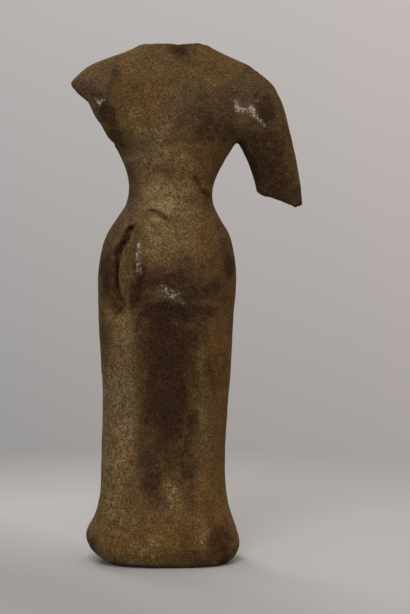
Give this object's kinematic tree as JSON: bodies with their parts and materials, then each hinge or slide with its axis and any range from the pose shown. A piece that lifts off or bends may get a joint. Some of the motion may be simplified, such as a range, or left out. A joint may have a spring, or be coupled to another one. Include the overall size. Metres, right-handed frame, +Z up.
{
  "type": "headless stone statue",
  "caption": "Standing female figure carved from a single block of sandstone, in a long skirt that flares at the hem, with the head and arms broken away.",
  "frame": {"origin": "on the floor, in the middle of the hem that the figure stands on", "axes": "+Z up through the neck, -Y the way the figure faces, +X towards its own left side"},
  "size_m": [0.223, 0.0975, 0.5],
  "materials": {
    "sandstone": "matt carved stone with a brown patina"
  },
  "bodies": {
    "root": {"figure": "sandstone"}
  },
  "joints": []
}
